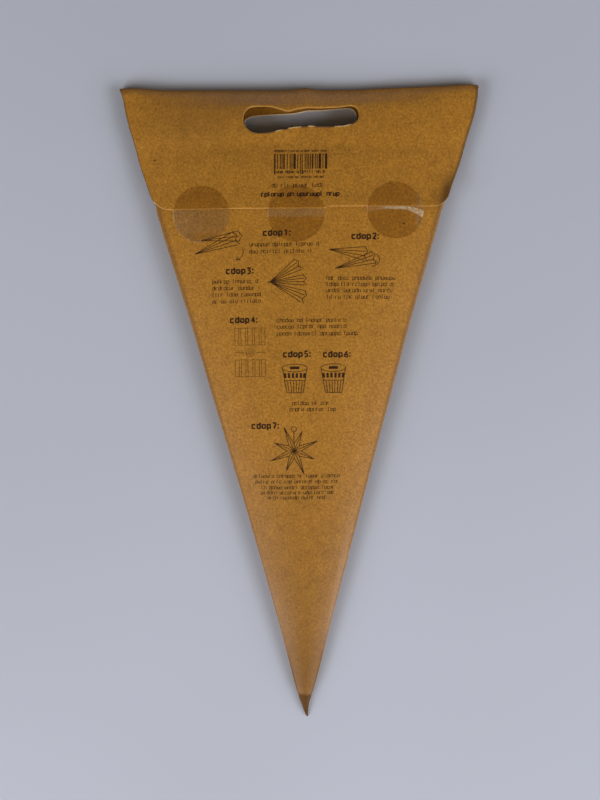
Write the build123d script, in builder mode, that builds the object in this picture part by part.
"""A flat triangular pack of kraft paper, sealed shut with three round film seals.

The pack lies on its front panel, back panel up. +X is to the right, +Y is towards the fold
that the flap comes over, and +Z is up. The origin is on the table under the middle of the pack.
Places along the pack are given as depths, in millimetres below the fold.
"""

from build123d import *
from math import atan, cos, sin
import os

os.makedirs("parts", exist_ok=True)

# Whole pack
Length = 360.0
FoldHalfWidth = 102.4
Sheet = 0.45

# The envelope narrows in a straight line from its mouth, which the flap hides, to its tip
MouthDepth = 32.0
MouthHalfWidth = 92.7
TipHalfWidth = 1.3

# The envelope with what it holds: its full height, which it reaches at the full depth,
# and its rounded sides
FullHeight = 11.9
FullDepth = 110.0
SideHeight = 4.5
SideRadius = 2.6

# The fold, and the flap that comes over it, cut a little short on the right
FoldRadius = 1.9
FlapLength = 69.3
FlapSkew = 1.8
FlapShoulderDepth = 8.0
FlapShoulderInset = 0.7
FlapEndHalfWidth = 83.8
FlapCornerRadius = 6.5

# The slot for hanging goes through the flap and the panel under it
SlotLength = 65.0
SlotHeight = 16.0
SlotX = 1.5
SlotDepth = 17.6
SlotTilt = 0.8
LowerSlotDrop = 2.0

# Round film seals over the lower edge of the flap
SealDiameter = 33.0
SealFilm = 0.12
SealRamp = 2.5
SealEdgeGap = 0.4
SideSealInset = 28.0
MiddleSealX = -1.8

# Share of the half width that rests on the table, and how square the back panel's crown is
RestShare = 0.6
Crown = 2.4

# How far one layer is sunk into the one it joins, and how deep the underside is trimmed
Sunk = 0.2
Trim = 0.2
SealSunk = 0.3

# Share of the way from the mouth to the full depth: shares of the full height, of the side's
# height and of the side's radius
Swell = {
    0: (0.71, 0.51, 0.85),
    0.13: (0.8, 0.6, 0.92),
    0.26: (0.87, 0.71, 0.96),
    0.39: (0.92, 0.82, 1),
    0.55: (0.96, 0.91, 1),
    1: (1, 1, 1),
}

# The same, for shares of the way from the full depth to the tip
Taper = {
    0.22: (0.98, 1, 1),
    0.46: (0.9, 0.93, 0.96),
    0.68: (0.76, 0.8, 0.88),
    0.86: (0.57, 0.67, 0.81),
    0.95: (0.41, 0.53, 0.65),
    1: (0.24, 0.33, 0.38),
}

# Share of the way from the fold to the mouth: how far the free flap has risen from the height
# of the fold to that of the envelope, in the middle and at its sides
Rise = {
    0: (0, 0),
    0.34: (0.42, 0.5),
    0.67: (0.75, 0.8),
}

# Each seal: distance from the middle, and how far below the flap's edge its centre lies
Seals = {
    "seal_left": (SideSealInset - FlapEndHalfWidth, 3.4),
    "seal_middle": (MiddleSealX, 3.5),
    "seal_right": (FlapEndHalfWidth - SideSealInset, 2.4),
}

Sizes = (FullHeight, SideHeight, SideRadius)
Stations = {
    MouthDepth + share * (FullDepth - MouthDepth): [a * b for a, b in zip(row, Sizes)]
    for share, row in Swell.items()
} | {
    FullDepth + share * (Length - FullDepth): [a * b for a, b in zip(row, Sizes)]
    for share, row in Taper.items()
}


def along(depth):
    """Y of a place at this depth."""
    return Length / 2 - depth


def half_width(depth):
    """Half width of the envelope itself."""
    share = (depth - MouthDepth) / (Length - MouthDepth)
    return MouthHalfWidth + share * (TipHalfWidth - MouthHalfWidth)


def flap_half_width(depth):
    """Half width of the flap, which is a little wider than the envelope under it."""
    share = (depth - FlapShoulderDepth) / (FlapLength - FlapShoulderDepth)
    shoulder = FoldHalfWidth - FlapShoulderInset
    return shoulder + share * (FlapEndHalfWidth - shoulder)


def flap_edge(x):
    """Depth of the flap's lower edge at this distance from the middle."""
    return FlapLength - FlapSkew * (x + FlapEndHalfWidth) / (2 * FlapEndHalfWidth)


def shape(depth):
    """Middle height, side height and side radius at any depth, between two stations."""
    before = max(station for station in Stations if station <= depth)
    after = min(station for station in Stations if station >= depth)
    share = (depth - before) / (after - before) if after > before else 0
    pairs = zip(Stations[before], Stations[after])
    return [low + share * (high - low) for low, high in pairs]


def crown_angle(depth):
    """Slope of the back panel where it meets the side fold, in radians."""
    top, side, radius = shape(depth)
    return atan(Crown * (top - side - radius) / half_width(depth))


def panel_height(depth, x):
    """Height of the back panel above the table."""
    top, side, radius = shape(depth)
    width = half_width(depth)
    angle = crown_angle(depth)
    reach = 1 - radius * (1 - sin(angle)) / width
    drop = (top - side - radius * cos(angle)) / reach**Crown
    return top - drop * abs(x / width) ** Crown


def flap_places(depth):
    """Distances from the middle that set the flap's curve, to just past its cut sides."""
    reach = flap_half_width(depth) + 2
    return [reach * share for share in (-1, -0.85, -0.65, -0.35, 0, 0.35, 0.65, 0.85, 1)]


def free_height(share, x):
    """Height of the flap's outer face where it is free, at this share of the way to the mouth."""
    top, side, radius = shape(MouthDepth)
    fold = 2 * FoldRadius
    middle, sides = [
        fold + part * (goal + Sheet - fold)
        for part, goal in zip(Rise[share], (top, side + radius))
    ]
    width = flap_half_width(FoldRadius + share * (MouthDepth - FoldRadius))
    return middle - (middle - sides) * abs(x / width) ** Crown


# The flap, as a thin sheet that rises from the fold and then lies on the back panel
with BuildPart() as flap:
    for share in Rise:
        depth = FoldRadius + share * (MouthDepth - FoldRadius)
        crest = [(x, free_height(share, x)) for x in flap_places(depth)]
        with BuildSketch(Plane.XZ.offset(-along(depth))):
            with BuildLine():
                outer = Spline(*crest)
                inner = Spline(*[(x, z - Sheet) for x, z in crest])
                Line(outer @ 0, inner @ 0)
                Line(outer @ 1, inner @ 1)
            make_face()
    past = min(station for station in Stations if station > FlapLength)
    for depth in [station for station in Stations if station <= past]:
        panel = [(x, panel_height(depth, x)) for x in flap_places(depth)]
        with BuildSketch(Plane.XZ.offset(-along(depth))):
            with BuildLine():
                outer = Spline(*[(x, z + Sheet) for x, z in panel])
                inner = Spline(*[(x, z - Sunk) for x, z in panel])
                Line(outer @ 0, inner @ 0)
                Line(outer @ 1, inner @ 1)
            make_face()
    loft(ruled=True)

    # Its cut outline: slanted sides, and rounded corners at the lower edge
    with BuildSketch(Plane.XY.offset(-Sheet)):
        with BuildLine():
            Polyline(
                (FoldHalfWidth, along(0)),
                (-FoldHalfWidth, along(0)),
                (FlapShoulderInset - FoldHalfWidth, along(FlapShoulderDepth)),
                (-FlapEndHalfWidth, along(flap_edge(-FlapEndHalfWidth))),
                (FlapEndHalfWidth, along(flap_edge(FlapEndHalfWidth))),
                (FoldHalfWidth - FlapShoulderInset, along(FlapShoulderDepth)),
                close=True,
            )
        outline = make_face()
        fillet(outline.vertices().sort_by(Axis.Y)[:2], FlapCornerRadius)
    extrude(amount=MouthDepth, mode=Mode.INTERSECT)

# The envelope with what it holds, and the sheet that runs on to the fold
with BuildPart() as pack:
    for depth in Stations:
        top, side, radius = shape(depth)
        width = half_width(depth)
        rest = RestShare * (width - radius)
        fall = crown_angle(depth)
        rise = atan(2 * (side - radius + Trim) / (width - radius - rest))
        low = (width - radius + radius * sin(rise), side - radius * cos(rise))
        high = (width - radius + radius * sin(fall), side + radius * cos(fall))
        crest = [(x, panel_height(depth, x)) for x in (0.8 * high[0], 0.5 * high[0], 0)]
        with BuildSketch(Plane.XZ.offset(-along(depth))):
            with BuildLine():
                Line((0, -Trim), (rest, -Trim))
                Spline((rest, -Trim), low, tangents=[(1, 0), (cos(rise), sin(rise))])
                ThreePointArc(low, (width, side), high)
                Spline(high, *crest, tangents=[(-cos(fall), sin(fall)), (-1, 0)])
                mirror(about=Plane.YZ)
            make_face()
    loft(ruled=True)

    # The underside rests flat on the table
    with BuildSketch(Plane.XY):
        Rectangle(4 * FoldHalfWidth, 2 * Length)
    extrude(amount=-10 * Trim, mode=Mode.SUBTRACT)

    # The front panel runs on flat from the mouth to the fold
    with BuildSketch(Plane.XY):
        with BuildLine():
            Polyline(
                (FoldHalfWidth, along(FoldRadius)),
                (-FoldHalfWidth, along(FoldRadius)),
                (-MouthHalfWidth, along(MouthDepth)),
                (-MouthHalfWidth + 3, along(MouthDepth + 2)),
                (MouthHalfWidth - 3, along(MouthDepth + 2)),
                (MouthHalfWidth, along(MouthDepth)),
                close=True,
            )
        make_face()
    extrude(amount=Sheet)

    # The sheet turns over at the fold, which stays round
    with BuildSketch(Plane.YZ.offset(-FoldHalfWidth)):
        with Locations((along(FoldRadius), FoldRadius)):
            Circle(FoldRadius)
            Circle(FoldRadius - Sheet, mode=Mode.SUBTRACT)
        with Locations((along(2 * FoldRadius), FoldRadius)):
            Rectangle(2 * FoldRadius, 3 * FoldRadius, mode=Mode.SUBTRACT)
    extrude(amount=2 * FoldHalfWidth)
    add(flap.part)

    # The slot, through the flap first and then through the panel under it
    with BuildSketch(Plane.XY.offset(FoldRadius)):
        with Locations(Location((SlotX, along(SlotDepth)), SlotTilt)):
            SlotOverall(SlotLength, SlotHeight)
    extrude(amount=MouthDepth, mode=Mode.SUBTRACT)
    with BuildSketch(Plane.XY.offset(FoldRadius)):
        with Locations(Location((SlotX, along(SlotDepth + LowerSlotDrop)), SlotTilt)):
            SlotOverall(SlotLength, SlotHeight)
    extrude(amount=-2 * FoldRadius, mode=Mode.SUBTRACT)

pack.part.label = "pack"
export_step(pack.part, "parts/pack.step")

# Each seal lies on the flap, runs down over its cut edge, and lies on the back panel
for name, (middle, drop) in Seals.items():
    depth = flap_edge(middle) + drop
    edge = flap_edge(middle) + SealEdgeGap
    start = depth - SealDiameter / 2 - 1
    end = depth + SealDiameter / 2 + 1
    between = [station for station in Stations if start < station < end]
    with BuildPart() as seal:
        for place in sorted([start, edge, edge + SealRamp, end, *between]):
            lift = SealFilm + (Sheet if place <= edge else 0)
            reach = SealDiameter / 2 + 1
            across = [middle + reach * share for share in (-1, -0.5, 0, 0.5, 1)]
            crest = [(x, panel_height(place, x) + lift) for x in across]
            with BuildSketch(Plane.XZ.offset(-along(place))):
                with BuildLine():
                    outer = Spline(*crest)
                    inner = Spline(*[(x, z - lift - SealSunk) for x, z in crest])
                    Line(outer @ 0, inner @ 0)
                    Line(outer @ 1, inner @ 1)
                make_face()
        loft(ruled=True)
        with BuildSketch(Plane.XY.offset(-Sheet)):
            with Locations((middle, along(depth))):
                Circle(SealDiameter / 2)
        extrude(amount=MouthDepth, mode=Mode.INTERSECT)
        add(pack.part, mode=Mode.SUBTRACT)
    seal.part.label = name
    export_step(seal.part, f"parts/{name}.step")
